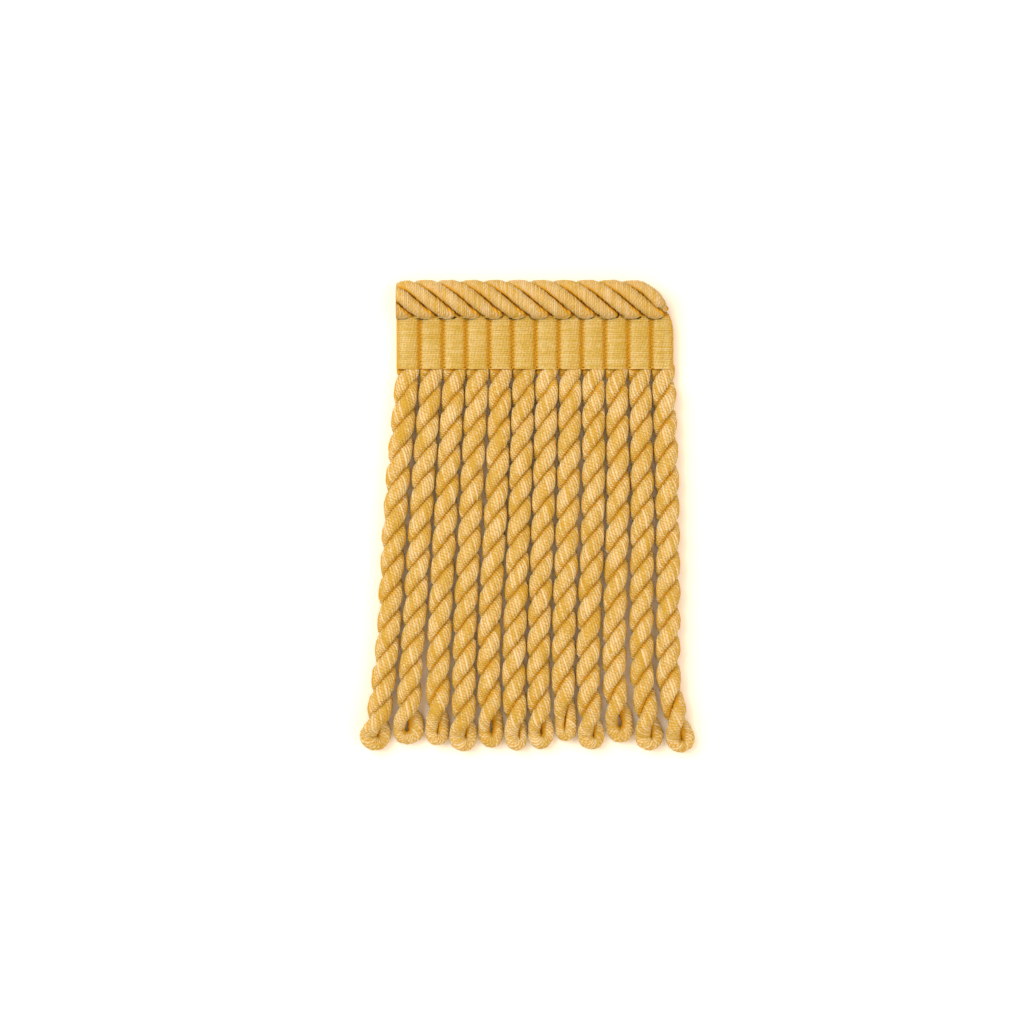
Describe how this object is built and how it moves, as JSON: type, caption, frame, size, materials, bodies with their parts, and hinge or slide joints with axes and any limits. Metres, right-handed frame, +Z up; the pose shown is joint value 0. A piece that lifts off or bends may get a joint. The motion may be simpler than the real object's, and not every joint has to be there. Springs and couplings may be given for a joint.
{
  "type": "cord fringe trim",
  "caption": "Cut length of furnishing trim: a ribbed woven heading band with a roll of slanted cord along its top edge and hanging twisted ropes that end in loops.",
  "frame": {"origin": "on the surface that the trim lies on, at the middle of the heading band's flat back", "axes": "+Z up off the surface, out of the trim's face; +Y from the ropes towards the crest; +X to the right with the crest at the top"},
  "size_m": [0.0907, 0.1279, 0.008],
  "materials": {
    "band_yarn": "woven gold yarn with darker grooves, slightly silky",
    "crest_yarn": "wound gold yarn, matte with a slight sheen",
    "rope_yarn": "wound gold yarn, matte with a slight sheen"
  },
  "bodies": {
    "root": {"heading": "band_yarn", "crest": "crest_yarn", "fringe": "rope_yarn"}
  },
  "joints": []
}
